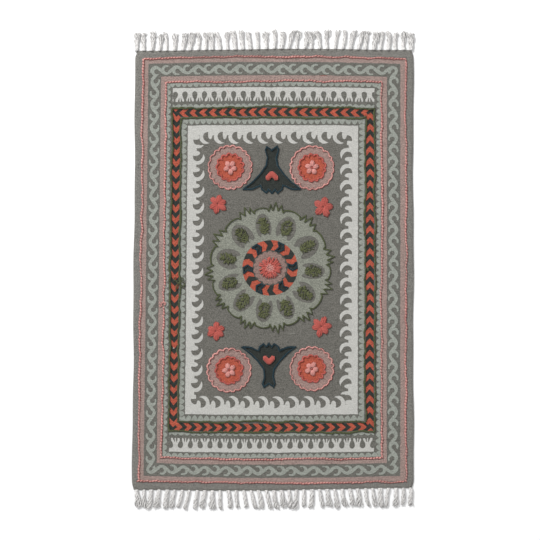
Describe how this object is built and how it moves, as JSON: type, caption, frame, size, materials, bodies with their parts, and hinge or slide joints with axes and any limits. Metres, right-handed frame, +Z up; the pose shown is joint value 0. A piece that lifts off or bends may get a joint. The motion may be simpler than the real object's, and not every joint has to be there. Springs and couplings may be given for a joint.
{
  "type": "embroidered cotton rug",
  "caption": "Flat-woven cotton rug with a printed folk border, round centre motif, raised yarn embroidery and knotted fringe on both short ends.",
  "frame": {"origin": "on the floor, at the middle of the cloth's flat underside", "axes": "+Y along the rug's length towards the picture's top, +X across it, +Z up from the floor"},
  "size_m": [0.9199, 1.5747, 0.0075],
  "materials": {
    "ground_cotton": "flat-woven cotton with a block print",
    "warp_cotton": "loose undyed cotton yarn",
    "pink_yarn": "couched cotton yarn",
    "green_yarn": "couched cotton yarn",
    "coral_yarn": "satin-stitched cotton yarn",
    "light_pink_yarn": "satin-stitched cotton yarn",
    "teal_yarn": "chain-stitched cotton yarn",
    "olive_yarn": "couched and satin-stitched cotton yarn"
  },
  "bodies": {
    "root": {"cotton_cloth": "ground_cotton", "fringe_top": "warp_cotton", "fringe_bottom": "warp_cotton", "pink_line_outer": "pink_yarn", "pink_line_inner": "pink_yarn", "green_line_outer": "green_yarn", "green_line_inner": "green_yarn", "rosette_1_outer_ring": "pink_yarn", "rosette_2_outer_ring": "pink_yarn", "rosette_3_outer_ring": "pink_yarn", "rosette_4_outer_ring": "pink_yarn", "rosette_1_inner_ring": "coral_yarn", "rosette_2_inner_ring": "coral_yarn", "rosette_3_inner_ring": "coral_yarn", "rosette_4_inner_ring": "coral_yarn", "rosette_1_flower": "light_pink_yarn", "rosette_2_flower": "light_pink_yarn", "rosette_3_flower": "light_pink_yarn", "rosette_4_flower": "light_pink_yarn", "coral_flower_1": "coral_yarn", "coral_flower_2": "coral_yarn", "coral_flower_3": "coral_yarn", "coral_flower_4": "coral_yarn", "medallion_edge": "olive_yarn", "leaf_01": "olive_yarn", "leaf_02": "olive_yarn", "leaf_03": "olive_yarn", "leaf_04": "olive_yarn", "leaf_05": "olive_yarn", "leaf_06": "olive_yarn", "leaf_07": "olive_yarn", "leaf_08": "olive_yarn", "leaf_09": "olive_yarn", "leaf_10": "olive_yarn", "leaf_11": "olive_yarn", "ring_arrow_1": "teal_yarn", "ring_arrow_2": "teal_yarn", "ring_arrow_3": "teal_yarn", "ring_arrow_4": "teal_yarn", "ring_arrow_5": "teal_yarn", "ring_arrow_6": "teal_yarn", "centre_flower": "coral_yarn", "figure_edge_top": "teal_yarn", "figure_edge_bottom": "teal_yarn", "heart_top": "coral_yarn", "heart_bottom": "coral_yarn"}
  },
  "joints": []
}
